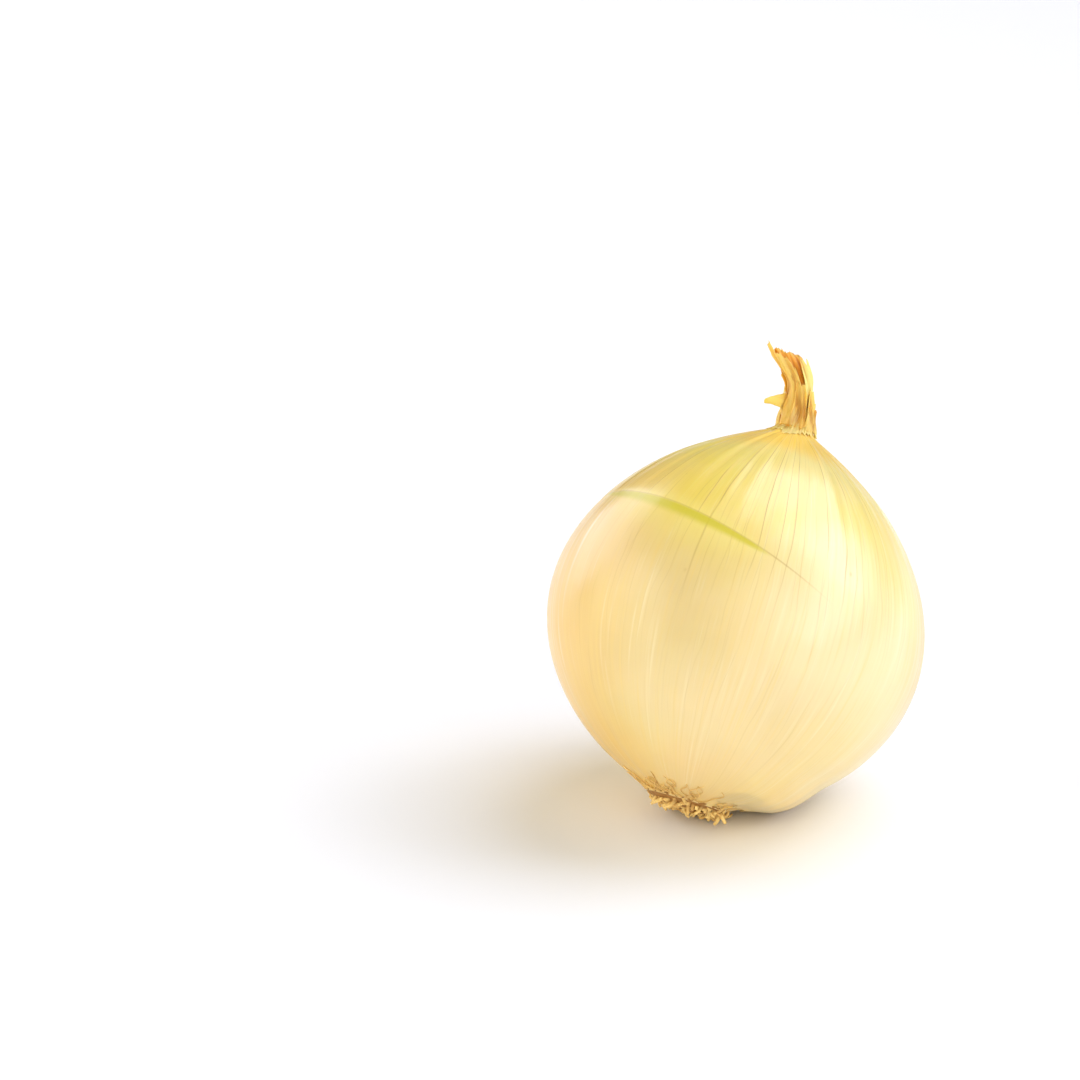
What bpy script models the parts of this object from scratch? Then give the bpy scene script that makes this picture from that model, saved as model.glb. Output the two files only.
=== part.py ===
"""One large white onion at rest on a table: its bulb, its dry neck and its root tuft.

Units are metres and +Z is up. Every piece is shaped in the onion's own frame, where
the origin is the middle of the root plate and +Z runs up the axis to the neck. An
empty then leans the whole onion over, onto the flat spot low on its side, with the
table at Z = 0.
"""

import math
import random

import bmesh
import bpy
from mathutils import Matrix, Vector

MM = 0.001
GAP = 0.3 * MM  # clear space between neighbouring pieces

# The bulb, with heights measured up its axis from the root plate.
BULB_DIAMETER = 90 * MM
WIDEST_AT = 43 * MM
BULB_HEIGHT = 93.5 * MM
ROOT_PLATE_RADIUS = 10 * MM
NECK_FOOT_RADIUS = 5.5 * MM
ROOT_END_POWER = 0.55  # 0.5 would be an ellipse, and more is closer to a cone
NECK_END_POWER = 0.75
END_BLEND = 4  # how tightly the flesh turns into the root plate and the neck
BELLY_SHIFT = Vector((-0.4 * MM, -0.5 * MM))  # how far the bulb bows off its axis
LOBES = ((2, 0.008, 0.6), (3, 0.005, 2.1), (5, 0.002, 4.0))  # count, share, turn

# How the onion lies: leaning off upright, towards +X and +Y, on a small flat spot.
LEAN = math.radians(31)
LEAN_TOWARDS = math.radians(56.5)
FLAT_SPOT_DEPTH = 1.0 * MM

# The dry neck, in mm: height above the bulb, drift off the axis, half width, half depth.
NECK_STATIONS = (
    (0.0, 0.0, 5.2, 5.0),
    (1.9, 0.1, 4.5, 4.3),
    (3.8, 0.2, 4.1, 3.9),
    (6.4, -0.2, 3.9, 3.6),
    (8.7, -1.0, 4.0, 3.3),
    (10.8, -2.1, 4.3, 3.1),
    (12.8, -3.4, 4.6, 2.8),
    (15.0, -4.9, 5.0, 2.5),
    (17.2, -6.5, 5.2, 2.2),
)
NECK_SIDES = 20
NECK_PLEATS = 5
NECK_PLEAT_DEPTH = 0.09  # share of the section's radius
NECK_TWIST = math.radians(28)
FLAKE_HEIGHT = 4.6 * MM
FLAKE_REACH = 9.5 * MM
FLAKE_SIZE = Vector((8.0, 2.0, 4.0)) * MM
FLAKE_TIP = Vector((1.0, 0.5, 0.45))  # the tip's size as shares of the foot's

# The root tuft: a cushion of short dry roots on the root plate.
TUFT_RADIUS = 10.2 * MM
TUFT_DEPTH = 3.2 * MM
TUFT_RIM = 0.3 * MM  # the cushion's upright edge
TUFT_EDGE_INSET = 0.4 * MM
TUFT_EDGE_STEPS = 8
TUFT_EDGE_POWER = 0.6  # 1 would be an ellipse, and less is fuller at the edge
TUFT_FALL = 0.8  # how much shallower the cushion is at its edge, as a share squared
TUFT_RINGS = ((0.0, 1), (0.30, 6), (0.58, 12), (0.86, 18))  # share of radius, roots
ROOTLET_LENGTH = 3.4 * MM
ROOTLET_LENGTHS = (0.85, 1.1)  # shares of the mean length
ROOTLET_RADIUS = 0.75 * MM
ROOTLET_TAPER = 0.6
ROOTLET_SIDES = 6
ROOTLET_SPLAY = math.radians(62)  # at the tuft's edge
ROOTLET_STRAY = math.radians(6)
ROOTLET_SPACING_STRAY = 0.35  # share of the spacing round a ring
ROOTLET_START = 0.45  # share of the cushion's depth

BULB_STEPS = 72
BULB_RINGS = 40
TUFT_STEPS = 30
WELD_DISTANCE = 0.01 * MM
SHARP_ANGLE = math.radians(35)
TABLE_SIZE = 200 * MM

DOWN = Vector(
    (
        math.sin(LEAN) * math.cos(LEAN_TOWARDS),
        math.sin(LEAN) * math.sin(LEAN_TOWARDS),
        -math.cos(LEAN),
    )
)  # the row frame's -Z, as the onion's own frame has it


def clear_scene():
    for obj in list(bpy.data.objects):
        bpy.data.objects.remove(obj)


def collection_named(name):
    made = bpy.data.collections.new(name)
    bpy.context.scene.collection.children.link(made)
    return made


def material_named(name, colour, roughness):
    made = bpy.data.materials.new(name)
    made.use_nodes = True
    shader = made.node_tree.nodes["Principled BSDF"]
    shader.inputs["Base Color"].default_value = (*colour, 1)
    shader.inputs["Roughness"].default_value = roughness
    shader.inputs["Metallic"].default_value = 0
    return made


def object_from(bm, name, collection):
    """A new object that takes over the bmesh."""
    mesh = bpy.data.meshes.new(name)
    bm.to_mesh(mesh)
    bm.free()
    obj = bpy.data.objects.new(name, mesh)
    collection.objects.link(obj)
    return obj


def turned(name, profile, steps, collection):
    """The solid that a profile of (radius, height) makes round +Z, as a plain mesh.

    The profile starts on the axis at the top and ends on the axis at the bottom.
    """
    bm = bmesh.new()
    points = [bm.verts.new((radius, 0, height)) for radius, height in profile]
    for upper, lower in zip(points, points[1:]):
        bm.edges.new((upper, lower))
    obj = object_from(bm, name, collection)
    screw = obj.modifiers.new("Turn", "SCREW")
    screw.steps = screw.render_steps = steps
    screw.use_merge_vertices = True
    screw.merge_threshold = WELD_DISTANCE
    bpy.context.view_layer.update()
    graph = bpy.context.evaluated_depsgraph_get()
    mesh = bpy.data.meshes.new_from_object(obj.evaluated_get(graph))
    obj.modifiers.remove(screw)
    obj.data = mesh
    return obj


def join_shape(obj, other, operation):
    boolean = obj.modifiers.new(operation.title(), "BOOLEAN")
    boolean.operation = operation
    boolean.object = other
    boolean.solver = "EXACT"
    return boolean


def hide_helper(obj):
    obj.hide_render = True
    obj.display_type = "WIRE"


def finish(obj, material):
    obj.data.materials.clear()
    obj.data.materials.append(material)
    obj.data.shade_smooth()
    obj.data.set_sharp_from_angle(angle=SHARP_ANGLE)


def bulb_radius(height):
    """The bulb's mean radius at a height above the root plate."""
    if height < WIDEST_AT:
        reach = 1 - height / WIDEST_AT
        power, end = ROOT_END_POWER, ROOT_PLATE_RADIUS
    else:
        reach = (height - WIDEST_AT) / (BULB_HEIGHT - WIDEST_AT)
        power, end = NECK_END_POWER, NECK_FOOT_RADIUS
    flesh = BULB_DIAMETER / 2 * max(0.0, 1 - reach**2) ** power
    return (flesh**END_BLEND + end**END_BLEND) ** (1 / END_BLEND)


def bulb_profile():
    """The bulb's outline from its top to its root plate, closest together at the ends."""
    outline = [(0, BULB_HEIGHT)]
    for i in range(BULB_RINGS + 1):
        height = BULB_HEIGHT / 2 * (1 + math.cos(math.pi * i / BULB_RINGS))
        outline.append((bulb_radius(height), height))
    return outline + [(0, 0)]


def grow_unevenly(mesh):
    """Bows the bulb off its axis and gives its round sections their shallow lobes."""
    for vertex in mesh.vertices:
        x, y, height = vertex.co
        fullness = math.sin(math.pi * height / BULB_HEIGHT)
        angle = math.atan2(y, x)
        swell = 1 + fullness * sum(
            share * math.cos(count * angle + turn) for count, share, turn in LOBES
        )
        shift = BELLY_SHIFT * fullness
        vertex.co = (x * swell + shift.x, y * swell + shift.y, height)


def make_bulb(collection):
    bulb = turned("bulb", bulb_profile(), BULB_STEPS, collection)
    grow_unevenly(bulb.data)
    return bulb


def neck_section(half_width, half_depth, turn):
    """The points of one pleated section of the neck, round its middle."""
    for i in range(NECK_SIDES):
        angle = 2 * math.pi * i / NECK_SIDES
        pleat = 1 + NECK_PLEAT_DEPTH * math.cos(NECK_PLEATS * (angle + turn))
        yield Vector(
            (half_width * pleat * math.cos(angle), half_depth * pleat * math.sin(angle), 0)
        )


def make_neck(collection, helpers):
    """A flattened, twisted stalk that drifts over to -X, with one flake standing off it."""
    bm = bmesh.new()
    foot = Vector((0, 0, BULB_HEIGHT + GAP))
    rings = []
    for height, drift, half_width, half_depth in NECK_STATIONS:
        share = height / NECK_STATIONS[-1][0]
        middle = foot + Vector((drift, 0, height)) * MM
        section = neck_section(half_width * MM, half_depth * MM, NECK_TWIST * share)
        rings.append([bm.verts.new(middle + point) for point in section])
    for lower, upper in zip(rings, rings[1:]):
        for i in range(NECK_SIDES):
            j = (i + 1) % NECK_SIDES
            bm.faces.new((lower[i], lower[j], upper[j], upper[i]))
    bm.faces.new(reversed(rings[0]))
    bm.faces.new(rings[-1])
    neck = object_from(bm, "neck", collection)

    bm = bmesh.new()
    bmesh.ops.create_cube(bm, size=1, matrix=Matrix.Diagonal((*FLAKE_SIZE, 1)))
    tip = [vertex for vertex in bm.verts if vertex.co.x < 0]
    top_edge = Matrix.Translation((0, 0, -FLAKE_SIZE.z / 2))
    bmesh.ops.scale(bm, vec=FLAKE_TIP, space=top_edge, verts=tip)
    flake = object_from(bm, "neck_flake", helpers)
    middle_x = FLAKE_SIZE.x / 2 - FLAKE_REACH
    flake.location = foot + Vector((middle_x, 0, FLAKE_HEIGHT))
    hide_helper(flake)
    join_shape(neck, flake, "UNION")
    return neck, flake


def make_rootlets(bm):
    """Short tapered roots in rings over the cushion, each splayed outwards."""
    dice = random.Random(5)
    for share, count in TUFT_RINGS:
        for i in range(count):
            angle = 2 * math.pi * (i + ROOTLET_SPACING_STRAY * dice.random()) / count
            splay = ROOTLET_SPLAY * share + dice.uniform(-ROOTLET_STRAY, ROOTLET_STRAY)
            outwards = Vector((math.cos(angle), math.sin(angle), 0))
            along = outwards * math.sin(splay) - Vector((0, 0, math.cos(splay)))
            depth = TUFT_DEPTH * math.sqrt(1 - TUFT_FALL * share**2)
            start = outwards * share * TUFT_RADIUS - Vector((0, 0, GAP + ROOTLET_START * depth))
            length = ROOTLET_LENGTH * dice.uniform(*ROOTLET_LENGTHS)
            place = Matrix.Translation(start + along * length / 2)
            turn = along.to_track_quat("Z", "Y").to_matrix().to_4x4()
            bmesh.ops.create_cone(
                bm,
                cap_ends=True,
                segments=ROOTLET_SIDES,
                radius1=ROOTLET_RADIUS,
                radius2=ROOTLET_TAPER * ROOTLET_RADIUS,
                depth=length,
                matrix=place @ turn,
            )


def make_root_tuft(collection, helpers):
    """A low cushion under the root plate, with the short roots standing out of it."""
    outline = [(0, -GAP), (TUFT_RADIUS - TUFT_EDGE_INSET, -GAP)]
    for i in range(TUFT_EDGE_STEPS):
        angle = math.pi / 2 * i / TUFT_EDGE_STEPS
        height = -GAP - TUFT_RIM - (TUFT_DEPTH - TUFT_RIM) * math.sin(angle)
        outline.append((TUFT_RADIUS * math.cos(angle) ** TUFT_EDGE_POWER, height))
    outline.append((0, -GAP - TUFT_DEPTH))
    tuft = turned("root_tuft", outline, TUFT_STEPS, collection)
    bm = bmesh.new()
    make_rootlets(bm)
    rootlets = object_from(bm, "rootlets", helpers)
    hide_helper(rootlets)
    join_shape(tuft, rootlets, "UNION").use_self = True
    return tuft, rootlets


def make_table(bulb, helpers):
    """A block in the table's place, which cuts the flat spot. Returns its depth too."""
    depth = max(vertex.co.dot(DOWN) for vertex in bulb.data.vertices) - FLAT_SPOT_DEPTH
    bm = bmesh.new()
    bmesh.ops.create_cube(bm, size=TABLE_SIZE)
    table = object_from(bm, "table_cutter", helpers)
    table.rotation_mode = "QUATERNION"
    table.rotation_quaternion = (-DOWN).to_track_quat("Z", "Y")
    table.location = DOWN * (depth + TABLE_SIZE / 2)
    hide_helper(table)
    return table, depth


def rest_on_table(parts, helpers, table_depth):
    """Leans everything over, with the table at Z = 0 and the object's middle over the origin."""
    leaning = bpy.data.objects.new("onion_at_rest", None)
    bpy.context.scene.collection.objects.link(leaning)
    side = Vector((-math.sin(LEAN_TOWARDS), math.cos(LEAN_TOWARDS), 0))
    turn = Matrix.Rotation(LEAN, 4, side)
    graph = bpy.context.evaluated_depsgraph_get()
    points = []
    for part in parts:
        points += [turn @ vertex.co for vertex in part.evaluated_get(graph).data.vertices]
    middle = [(min(p[k] for p in points) + max(p[k] for p in points)) / 2 for k in (0, 1)]
    leaning.matrix_world = Matrix.Translation((-middle[0], -middle[1], table_depth)) @ turn
    for obj in (*parts, *helpers):
        obj.parent = leaning


def main():
    clear_scene()
    onion = collection_named("onion")
    cutters = collection_named("cutters")

    bulb = make_bulb(onion)
    neck, flake = make_neck(onion, cutters)
    tuft, rootlets = make_root_tuft(onion, cutters)
    table, table_depth = make_table(bulb, cutters)
    for part in (bulb, tuft):
        join_shape(part, table, "DIFFERENCE")

    finish(bulb, material_named("skin", (0.89, 0.77, 0.42), 0.35))
    finish(neck, material_named("dry_neck", (0.80, 0.52, 0.18), 0.7))
    finish(tuft, material_named("roots", (0.62, 0.42, 0.17), 0.85))
    bpy.context.view_layer.update()
    rest_on_table((bulb, neck, tuft), (flake, rootlets, table), table_depth)


main()
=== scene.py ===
"""Builds the looks of one large white onion that lies at rest on a pale table.

The onion has its own frame: the origin is the middle of the root plate and +Z runs up the
axis to the neck. Every piece is shaped there and then laid down by resting_place().
"""

import math
import random

import bmesh
import bpy
from bpy.props import FloatProperty, FloatVectorProperty, IntProperty, PointerProperty
from mathutils import Matrix, Vector, noise


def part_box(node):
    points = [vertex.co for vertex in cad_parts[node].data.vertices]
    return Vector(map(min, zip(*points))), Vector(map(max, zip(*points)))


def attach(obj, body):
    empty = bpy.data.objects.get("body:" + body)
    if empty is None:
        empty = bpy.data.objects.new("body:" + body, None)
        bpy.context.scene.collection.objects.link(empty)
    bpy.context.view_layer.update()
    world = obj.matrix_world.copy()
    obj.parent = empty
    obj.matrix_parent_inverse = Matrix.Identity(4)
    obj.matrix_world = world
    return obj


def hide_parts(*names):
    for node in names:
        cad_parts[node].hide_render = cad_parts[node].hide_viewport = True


bl_info = {
    "name": "White Onion",
    "version": (1, 0, 0),
    "blender": (4, 5, 0),
    "location": "3D View > Sidebar > Onion",
    "description": "Builds a large white onion with its skin, its dry neck and its roots",
    "category": "Add Mesh",
}

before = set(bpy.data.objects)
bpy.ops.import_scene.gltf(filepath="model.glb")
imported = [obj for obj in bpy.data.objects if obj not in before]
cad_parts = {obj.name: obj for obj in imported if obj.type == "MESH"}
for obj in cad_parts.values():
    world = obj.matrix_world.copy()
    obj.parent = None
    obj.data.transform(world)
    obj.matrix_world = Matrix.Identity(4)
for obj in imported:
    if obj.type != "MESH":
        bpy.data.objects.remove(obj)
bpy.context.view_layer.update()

MM = 0.001

# The bulb, with heights measured up its axis from the root plate.
WIDEST_AT = 43 * MM
BULB_HEIGHT = 93.5 * MM
ROOT_PLATE_RADIUS = 10 * MM
NECK_FOOT_RADIUS = 5.5 * MM
ROOT_END_POWER = 0.55
NECK_END_POWER = 0.75
END_BLEND = 4
NECK_END_SLIM = 1.5 * MM  # the last rise to the neck is drawn in by this much
NECK_END_SLIM_FROM = 78 * MM
BELLY_SHIFT = Vector((-0.4 * MM, -0.5 * MM))
LOBES = ((2, 0.008, 0.6), (3, 0.005, 2.1), (5, 0.002, 4.0))  # count, share, turn

# How it lies, and where its own frame meets the neck's foot.
LEAN = math.radians(31)
LEAN_TOWARDS = math.radians(56.5)
NECK_GAP = 0.3 * MM
FLOOR_SOFTNESS = 0.35 * MM

BULB_STEPS = 400
BULB_RINGS = 196

# Ribs in the skin: count round the bulb, share of the depth, turn.
NECK_RIBS = ((11, 0.30, 0.4), (17, 0.26, 1.9), (29, 0.24, 3.1), (47, 0.20, 5.2))
NECK_RIB_DEPTH = 0.42 * MM
ROOT_RIBS = ((19, 0.5, 2.0), (31, 0.5, 0.7))
ROOT_RIB_DEPTH = 0.16 * MM
UNEVEN_DEPTH = 0.30 * MM

# The edge where the outer skin ends and a green stripe of the inner one shows.
EDGE_PEAK = math.radians(-150)
EDGE_PEAK_HEIGHT = 65.5 * MM
EDGE_FALL = 9.8 * MM
EDGE_FALL_SPAN = math.radians(66.5)
STRIPE_START = math.radians(-172)
STRIPE_END = math.radians(-90)
STRIPE_WIDTH = 2.9 * MM
OUTER_SKIN = 0.16 * MM
CONTACT_SHADE_HEIGHTS = (5.0, 2.2)  # mm above the table where the painted brown contact shade starts to show and is full

# The dry neck: share of its height, then its drift, half width and half depth in mm.
NECK_HEIGHT = 17.4 * MM
NECK_GIRTH = (
    (-0.20, -0.2, 5.0, 5.2),
    (0.00, -0.6, 3.9, 4.3),
    (0.19, -0.6, 3.2, 3.3),
    (0.46, -1.6, 2.4, 2.7),
    (0.63, -2.8, 2.6, 2.5),
    (0.83, -5.2, 3.3, 2.2),
    (1.00, -7.6, 3.3, 1.9),
    (1.20, -10.4, 3.2, 1.6),
)
NECK_FOLDS = ((3, 0.045, 0.3), (7, 0.06, 1.4), (12, 0.045, 4.4), (21, 0.025, 2.6))
NECK_TWIST = math.radians(28)
NECK_CRUMPLE = 0.22
NECK_STEPS = 132
NECK_RINGS = 70
UNIT_MERGE = 0.0001  # closes the seam of a shape that is still one unit across
SHEATH_THICKNESS = 0.16 * MM
SKIRT_THICKNESS = 0.07 * MM
# Brown stains on the neck: turn in degrees, share of its height, size in mm.
STAINS = ((-76, 0.20, 0.6), (-168, 0.46, 0.6), (-172, 0.93, 0.6), (-120, 0.62, 0.4))

# The skirt of torn skin round the neck's foot, with heights up the onion's axis.
SKIRT_FOOT = 92.0 * MM
SKIRT_DIP = 1.1 * MM
SKIRT_DIP_TOWARDS = math.radians(-140)
SKIRT_TOP = BULB_HEIGHT + 5.0 * MM
SKIRT_BLEND = 6
SKIRT_STEPS = 300
SKIRT_RINGS = 44

# The skin sags on to the table beside the roots: the middle and half span of the sag.
SAG = 2.2 * MM
SAG_TOWARDS = math.radians(-12)
SAG_HALF_SPAN = math.radians(66)

# The loose skin under the bulb, beside the roots.
LOOSE_START = math.radians(-66)
LOOSE_SPAN = math.radians(78)
LOOSE_TOP = 7.0 * MM
LOOSE_FOOT = 2.0 * MM
LOOSE_LIFT = 1.2 * MM
LOOSE_TUCK = 0.45 * MM
LOOSE_TEAR = 1.3 * MM
LOOSE_CLEARANCE = 0.25 * MM
LOOSE_STEPS = 90
LOOSE_RINGS = 26

# The roots.
ROOT_COUNT = 330
ROOT_POINTS = 6
ROOT_SIDES = 6
ROOT_HAIRS = 40
HAIR_POINTS = 12
HAIR_SIDES = 5
HAIR_SPREAD = (-2.3, 0.7)  # the turn of the hairs' middle and their spread, in radians
ROOT_REACH = 8.3 * MM  # how far from the plate's middle the roots grow
GOLDEN_TURN = math.pi * (3 - math.sqrt(5))


def to_linear(red, green, blue):
    """A colour given as screen values from 0 to 255, as Blender's shaders want it."""
    shares = (channel / 255 for channel in (red, green, blue))
    return tuple(s / 12.92 if s <= 0.04045 else ((s + 0.055) / 1.055) ** 2.4 for s in shares)


def smoothstep(low, high, value):
    share = max(0.0, min(1.0, (value - low) / (high - low)))
    return share * share * (3 - 2 * share)


def interpolate(stations, place):
    """The values on a smooth curve through rows that each start with their own place."""
    place = max(stations[0][0], min(stations[-1][0], place))
    last = len(stations) - 2
    i = next((k for k in range(last) if place <= stations[k + 1][0]), last)
    start, end = stations[i], stations[i + 1]
    before, after = stations[max(i - 1, 0)], stations[min(i + 2, last + 1)]
    span = end[0] - start[0]
    t = (place - start[0]) / span
    values = []
    for k in range(1, len(start)):
        slope_in = (end[k] - before[k]) / (end[0] - before[0]) * span
        slope_out = (after[k] - start[k]) / (after[0] - start[0]) * span
        eased = start[k] + (end[k] - start[k]) * t * t * (3 - 2 * t)
        values.append(eased + slope_in * t * (1 - t) ** 2 - slope_out * t * t * (1 - t))
    return values


# ---------------------------------------------------------------- sizes and colours


class OnionSizes(bpy.types.PropertyGroup):
    """Sizes that a user may change without losing the fit to the frame."""

    diameter: FloatProperty(
        name="Diameter",
        description="The bulb's mean width across its widest ring",
        default=90 * MM,
        unit="LENGTH",
    )
    skin_veins: IntProperty(
        name="Skin veins", description="Strong veins round the bulb", default=86, min=8
    )
    root_length: FloatProperty(
        name="Root length",
        description="Mean length of the trimmed roots",
        default=3.6 * MM,
        unit="LENGTH",
    )
    root_thickness: FloatProperty(
        name="Root thickness",
        description="Width of a root where it leaves the plate",
        default=1.0 * MM,
        unit="LENGTH",
    )


def colour(name, description, screen_values):
    return FloatVectorProperty(
        name=name,
        description=description,
        default=to_linear(*screen_values),
        subtype="COLOR",
        min=0,
        max=1,
    )


class OnionColours(bpy.types.PropertyGroup):
    """Colours of the onion's surfaces."""

    root_end: colour("Root end", "Skin next to the roots", (237, 195, 114))
    belly: colour("Belly", "Skin round the bulb's widest part", (227, 201, 137))
    # Warm gold on the bulb's two sides: partly the skin's own tone, partly painted warm reflected
    # light.
    warm_side_and_reflection: colour("Flanks", "Warmer skin on the bulb's two sides", (233, 188, 88))
    shoulder: colour("Shoulder", "Skin between the belly and the neck", (235, 211, 90))
    neck_end: colour("Neck end", "Skin where it gathers into the neck", (248, 206, 87))
    # The veins' colour also serves for the painted contact shade at the skin's foot.
    vein_and_contact_shade: colour("Vein", "Veins in the skin", (171, 131, 52))
    stripe: colour("Green stripe", "Inner skin under the outer skin's edge", (212, 199, 52))
    # Painted shade in the neck's deep folds, and also the colour of its brown stains.
    neck: colour("Neck", "Dry leaf sheaths of the neck", (248, 168, 45))
    fold_shade_and_brown_spots: colour("Crease", "Deep folds in the neck", (200, 128, 34))
    root: colour("Roots", "Tips of the dry roots", (255, 219, 138))
    # The dark foot is partly the roots' own colour and partly painted shade in the gaps between
    # them.
    dark_foot_and_gap_shade: colour("Root base", "Foot of the roots and the plate under them", (137, 86, 28))


# ---------------------------------------------------------------- the onion's own frame


def resting_place():
    """The matrix that lays the onion down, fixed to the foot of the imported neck."""
    side = Vector((-math.sin(LEAN_TOWARDS), math.cos(LEAN_TOWARDS), 0))
    turn = Matrix.Rotation(LEAN, 4, side)
    up = turn.to_3x3() @ Vector((0, 0, 1))
    corners = {tuple(round(c, 7) for c in v.co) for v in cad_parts["neck"].data.vertices}
    corners = [Vector(corner) for corner in sorted(corners)]
    lowest = min(corner.dot(up) for corner in corners)
    foot = [corner for corner in corners if corner.dot(up) < lowest + 0.01 * MM]
    middle = sum(foot, Vector()) / len(foot)
    return Matrix.Translation(middle - up * (BULB_HEIGHT + NECK_GAP)) @ turn


PLACE = resting_place()


def bulb_radius(height, diameter):
    """The bulb's mean radius at a height above the root plate."""
    if height < WIDEST_AT:
        reach = 1 - height / WIDEST_AT
        power, end = ROOT_END_POWER, ROOT_PLATE_RADIUS
    else:
        reach = (height - WIDEST_AT) / (BULB_HEIGHT - WIDEST_AT)
        power, end = NECK_END_POWER, NECK_FOOT_RADIUS
    flesh = diameter / 2 * max(0.0, 1 - reach**2) ** power
    slim = NECK_END_SLIM * smoothstep(NECK_END_SLIM_FROM, BULB_HEIGHT, height)
    return (flesh**END_BLEND + end**END_BLEND) ** (1 / END_BLEND) - slim


def outer_edge_height(angle):
    return EDGE_PEAK_HEIGHT - EDGE_FALL * ((angle - EDGE_PEAK) / EDGE_FALL_SPAN) ** 2


def outer_skin_share(angle, height):
    """How fully the outer skin covers a point: 1 above its edge, easing off past its ends."""
    window = smoothstep(STRIPE_START - 0.35, STRIPE_START + 0.1, angle)
    window *= 1 - smoothstep(STRIPE_END - 0.1, STRIPE_END + 0.35, angle)
    above = smoothstep(-0.2 * MM, 0.6 * MM, height - outer_edge_height(angle))
    fade = 1 - smoothstep(6 * MM, 22 * MM, height - outer_edge_height(angle))
    return window * above * fade


def ribs(angle, waves):
    return sum(share * math.cos(count * angle + turn) for count, share, turn in waves)


def sag(angle, height):
    """How far the skin hangs down the axis beside the roots."""
    aside = abs(math.remainder(angle - SAG_TOWARDS, 2 * math.pi)) / SAG_HALF_SPAN
    rise = smoothstep(1.5 * MM, 6.2 * MM, height) * (1 - smoothstep(6.8 * MM, 13 * MM, height))
    return SAG * (1 - smoothstep(0.25, 1.0, aside)) * rise


def skin_point(angle, height, radius, lift=0.0):
    """A point of the grown skin, in the onion's own frame."""
    fullness = math.sin(math.pi * max(0.0, min(1.0, height / BULB_HEIGHT)))
    swell = 1 + fullness * ribs(angle, LOBES)
    toward_neck = smoothstep(50 * MM, 90 * MM, height)
    toward_root = 1 - smoothstep(3 * MM, 26 * MM, height)
    relief = NECK_RIB_DEPTH * toward_neck * ribs(angle, NECK_RIBS)
    relief += ROOT_RIB_DEPTH * toward_root * ribs(angle, ROOT_RIBS)
    around = Vector((math.cos(angle), math.sin(angle), 0))
    relief += UNEVEN_DEPTH * fullness * noise.noise(around * 1.6 + Vector((0, 0, height * 28)))
    relief += OUTER_SKIN * outer_skin_share(angle, height)
    reach = max(0.0, radius * swell + (relief if radius > 2 * MM else 0.0) + lift)
    shift = BELLY_SHIFT * fullness
    x, y = reach * around.x + shift.x, reach * around.y + shift.y
    return Vector((x, y, height - sag(angle, height)))


def lay_down(point, clearance=0.0):
    """Takes a point of the onion's own frame to the table, and presses it to the table's top."""
    placed = PLACE @ point
    height = placed.z - clearance
    placed.z = clearance + (height + math.hypot(height, FLOOR_SOFTNESS)) / 2
    return placed


def new_object(name, data):
    made = bpy.data.objects.new(name, data)
    bpy.context.scene.collection.objects.link(made)
    return made


def new_surface(bm, name, material):
    """Turns a bmesh into an object that wears one material."""
    mesh = bpy.data.meshes.new(name)
    bm.to_mesh(mesh)
    bm.free()
    mesh.materials.append(material)
    return new_object(name, mesh)


def new_piece(bm, name, *, material, node=None, wall=None):
    """Turns a bmesh into a piece that rides on the body and may stand for a CAD node."""
    bmesh.ops.recalc_face_normals(bm, faces=bm.faces)
    piece = new_surface(bm, name, material)
    piece.data.shade_smooth()
    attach(piece, "root")
    if node:
        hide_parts(node)
    if wall:
        thicken(piece, wall)
    return piece


def thicken(piece, thickness):
    """Gives a thin sheet its wall, on its outer side."""
    wall = piece.modifiers.new("Wall", "SOLIDIFY")
    wall.thickness = thickness
    wall.offset = 1
    wall.use_even_offset = False


def wobble(x, y, z):
    """Smooth noise from about -1 to 1."""
    return noise.noise(Vector((x, y, z)))


def unit_outline(rings):
    """A straight outline one unit high, one unit from the axis."""
    return [(1.0, i / rings) for i in range(rings + 1)]


def spin_outline(bm, outline, steps, angle=2 * math.pi, merge_distance=0.001 * MM):
    """Turns an outline of (radius, height) round +Z, and closes a full turn at its poles."""
    known = set(bm.verts)
    points = [bm.verts.new((radius, 0, height)) for radius, height in outline]
    edges = [bm.edges.new(pair) for pair in zip(points, points[1:])]
    full_turn = angle == 2 * math.pi
    bmesh.ops.spin(
        bm,
        geom=points + edges,
        axis=(0, 0, 1),
        cent=(0, 0, 0),
        angle=angle,
        steps=steps,
        use_merge=full_turn,
    )
    if full_turn:
        bmesh.ops.remove_doubles(bm, verts=bm.verts, dist=merge_distance)
    return [vertex for vertex in bm.verts if vertex not in known]


# ---------------------------------------------------------------- shader helpers

FLOAT = "NodeSocketFloat"
VECTOR = "NodeSocketVector"


def join(tree, value, socket):
    if isinstance(value, bpy.types.NodeSocket):
        tree.links.new(value, socket)
    else:
        socket.default_value = value


def join_all(tree, values, sockets):
    for name, value in values.items():
        join(tree, value, sockets[name])


def node(tree, kind, inputs=None, **settings):
    """A new node with its inputs joined or set, and its settings."""
    made = tree.nodes.new("ShaderNode" + kind)
    for name, value in settings.items():
        setattr(made, name, value)
    join_all(tree, inputs or {}, made.inputs)
    return made


def calculate(tree, operation, a, b=0.0, c=0.0):
    return node(tree, "Math", {0: a, 1: b, 2: c}, operation=operation).outputs[0]


def multiply(tree, product, *factors):
    for factor in factors:
        product = calculate(tree, "MULTIPLY", product, factor)
    return product


def ease(tree, value, low, high, out_low=0.0, out_high=1.0):
    """A value's share of the way from low to high, eased, as a number between the outs."""
    ends = {"From Min": low, "From Max": high, "To Min": out_low, "To Max": out_high}
    made = node(tree, "MapRange", {"Value": value, **ends}, interpolation_type="SMOOTHSTEP")
    return made.outputs["Result"]


def clouds(tree, place, scale=1.0, detail=2.0, roughness=0.5):
    """Soft noise from 0 to 1."""
    inputs = {"Vector": place, "Scale": scale, "Detail": detail, "Roughness": roughness}
    return node(tree, "TexNoise", inputs).outputs[0]


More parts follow.
